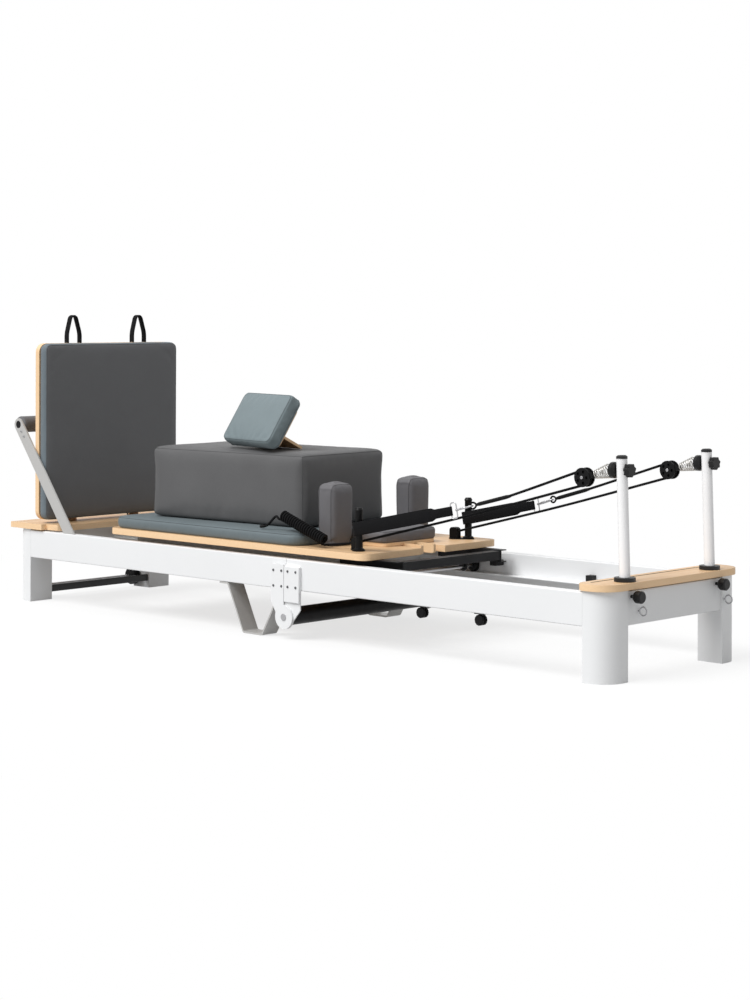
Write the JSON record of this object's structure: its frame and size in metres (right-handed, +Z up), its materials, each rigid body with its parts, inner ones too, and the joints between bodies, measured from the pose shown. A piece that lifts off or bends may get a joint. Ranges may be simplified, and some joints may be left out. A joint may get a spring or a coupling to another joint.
{
  "type": "folding pilates reformer",
  "caption": "Folding pilates reformer: white rail frame with a centre fold hinge, padded sliding carriage, foot bar, jump board, sitting box, pillow and roped pulley risers.",
  "frame": {"origin": "centre of the overall box, on the floor under the feet", "axes": "+X from the foot bar end to the pulley end, +Y to the far rail, +Z up from the floor"},
  "size_m": [2.4086, 0.6058, 0.9045],
  "materials": {
    "white_paint": "satin",
    "silver_paint": "satin",
    "dark_paint": "satin",
    "plywood": "satin",
    "grey_vinyl": "matte",
    "pale_vinyl": "matte",
    "black_plastic": "satin",
    "black_webbing": "matte",
    "foam": "matte",
    "steel": "satin",
    "rubber": "matte"
  },
  "bodies": {
    "foot_end": {"foot_end_frame": "white_paint", "foot_rail_near": "white_paint", "foot_rail_far": "white_paint", "foot_platform": "plywood", "hinge_leaf_foot_near": "white_paint", "hinge_leaf_foot_far": "white_paint", "hinge_cross_tube": "black_plastic", "mid_leg_near": "silver_paint", "mid_leg_far": "silver_paint", "jump_board_panel": "plywood", "jump_board_pad": "grey_vinyl", "jump_board_loop_near": "black_webbing", "jump_board_loop_far": "black_webbing"},
    "transport_wheels": {"transport_wheelset": "rubber"},
    "foot_bar": {"foot_bar_frame": "silver_paint", "foot_bar_grip": "foam"},
    "pulley_end": {"pulley_end_frame": "white_paint", "pulley_rail_near": "white_paint", "pulley_rail_far": "white_paint", "pulley_platform": "plywood", "hinge_leaf_pulley_near": "white_paint", "hinge_leaf_pulley_far": "white_paint", "riser_near": "white_paint", "riser_far": "white_paint", "pulley_block_near": "black_plastic", "pulley_block_far": "black_plastic", "pulley_spring_near": "steel", "pulley_spring_far": "steel", "pulley_rope_near": "black_webbing", "pulley_rope_far": "black_webbing", "strap_loop_near": "black_webbing", "strap_loop_far": "black_webbing"},
    "carriage": {"carriage_board": "plywood", "carriage_pad": "pale_vinyl", "carriage_frame": "dark_paint", "carriage_spring_near": "steel", "carriage_spring_far": "steel", "shoulder_rest_near": "grey_vinyl", "shoulder_rest_far": "grey_vinyl", "rope_post_near": "black_plastic", "rope_post_far": "black_plastic", "rope_hank": "black_webbing", "sitting_box": "grey_vinyl", "pillow_pad": "pale_vinyl", "pillow_board": "plywood"},
    "headrest": {"headrest_board": "plywood", "headrest_pad": "grey_vinyl"},
    "prop": {"pillow_prop": "plywood"},
    "wheels_foot": {"carriage_wheels_foot": "black_plastic"},
    "wheels_pulley": {"carriage_wheels_pulley": "black_plastic"},
    "sheave_near": {"sheave_near": "black_plastic"},
    "pulley_knob_near": {"pulley_knob_near": "black_plastic"},
    "clamp_knob_near": {"clamp_knob_near": "black_plastic"},
    "roller_inner_near": {"roller_inner_near": "rubber"},
    "roller_outer_near": {"roller_outer_near": "rubber"},
    "sheave_far": {"sheave_far": "black_plastic"},
    "pulley_knob_far": {"pulley_knob_far": "black_plastic"},
    "clamp_knob_far": {"clamp_knob_far": "black_plastic"},
    "roller_inner_far": {"roller_inner_far": "rubber"},
    "roller_outer_far": {"roller_outer_far": "rubber"}
  },
  "joints": [
    {"name": "frame_fold", "type": "hinge", "parent": "foot_end", "child": "pulley_end", "pos_m": [0.04428, 0, 0.063], "axis": [0, 1, 0], "range_deg": [0, 180]},
    {"name": "carriage_slide", "type": "slide", "parent": "foot_end", "child": "carriage", "axis": [1, 0, 0], "range_m": [0, 0.4], "stiffness_N_per_m": 150, "springref_m": -0.2, "deforming": ["carriage_spring_near", "carriage_spring_far", "pulley_rope_near", "pulley_rope_far", "strap_loop_near", "strap_loop_far"]},
    {"name": "foot_bar_swing", "type": "hinge", "parent": "foot_end", "child": "foot_bar", "pos_m": [-0.88972, 0, 0.18], "axis": [0, -1, 0], "range_deg": [-4, 22]},
    {"name": "transport_spin", "type": "hinge", "parent": "foot_end", "child": "transport_wheels", "pos_m": [-1.17372, 0, 0.036], "axis": [0, 1, 0], "continuous": true},
    {"name": "headrest_tilt", "type": "hinge", "parent": "carriage", "child": "headrest", "pos_m": [0.09228, 0, 0.26], "axis": [0, -1, 0], "range_deg": [0, 30]},
    {"name": "pillow_prop_fold", "type": "hinge", "parent": "carriage", "child": "prop", "pos_m": [-0.2346, -0.1019, 0.55346], "axis": [0.9816, -0.1908, 0], "range_deg": [0, 85]},
    {"name": "wheels_foot_spin", "type": "hinge", "parent": "carriage", "child": "wheels_foot", "pos_m": [-0.62572, 0, 0.1828], "axis": [0, 1, 0], "continuous": true},
    {"name": "wheels_pulley_spin", "type": "hinge", "parent": "carriage", "child": "wheels_pulley", "pos_m": [0.27428, 0, 0.1828], "axis": [0, 1, 0], "continuous": true},
    {"name": "sheave_spin_near", "type": "hinge", "parent": "pulley_end", "child": "sheave_near", "pos_m": [1.01928, -0.1835, 0.502], "axis": [0, 1, 0], "continuous": true},
    {"name": "pulley_knob_turn_near", "type": "hinge", "parent": "pulley_end", "child": "pulley_knob_near", "pos_m": [1.13856, -0.1835, 0.526], "axis": [0.9994, 0, 0.0349], "continuous": true},
    {"name": "clamp_knob_turn_near", "type": "hinge", "parent": "pulley_end", "child": "clamp_knob_near", "pos_m": [1.16383, -0.1835, 0.212], "axis": [1, 0, 0], "continuous": true},
    {"name": "roller_spin_inner_near", "type": "hinge", "parent": "pulley_end", "child": "roller_inner_near", "pos_m": [0.54628, -0.274, 0.1215], "axis": [0, 1, 0], "continuous": true},
    {"name": "roller_spin_outer_near", "type": "hinge", "parent": "pulley_end", "child": "roller_outer_near", "pos_m": [0.75128, -0.274, 0.1215], "axis": [0, 1, 0], "continuous": true},
    {"name": "sheave_spin_far", "type": "hinge", "parent": "pulley_end", "child": "sheave_far", "pos_m": [1.01928, 0.1835, 0.502], "axis": [0, 1, 0], "continuous": true},
    {"name": "pulley_knob_turn_far", "type": "hinge", "parent": "pulley_end", "child": "pulley_knob_far", "pos_m": [1.13856, 0.1835, 0.526], "axis": [0.9994, 0, 0.0349], "continuous": true},
    {"name": "clamp_knob_turn_far", "type": "hinge", "parent": "pulley_end", "child": "clamp_knob_far", "pos_m": [1.16383, 0.1835, 0.212], "axis": [1, 0, 0], "continuous": true},
    {"name": "roller_spin_inner_far", "type": "hinge", "parent": "pulley_end", "child": "roller_inner_far", "pos_m": [0.54628, 0.274, 0.1215], "axis": [0, 1, 0], "continuous": true},
    {"name": "roller_spin_outer_far", "type": "hinge", "parent": "pulley_end", "child": "roller_outer_far", "pos_m": [0.75128, 0.274, 0.1215], "axis": [0, 1, 0], "continuous": true}
  ],
  "couplings": [
    {"joint": "wheels_foot_spin", "follows": "carriage_slide", "rad_per_m": 57.143},
    {"joint": "wheels_pulley_spin", "follows": "carriage_slide", "rad_per_m": 57.143}
  ]
}
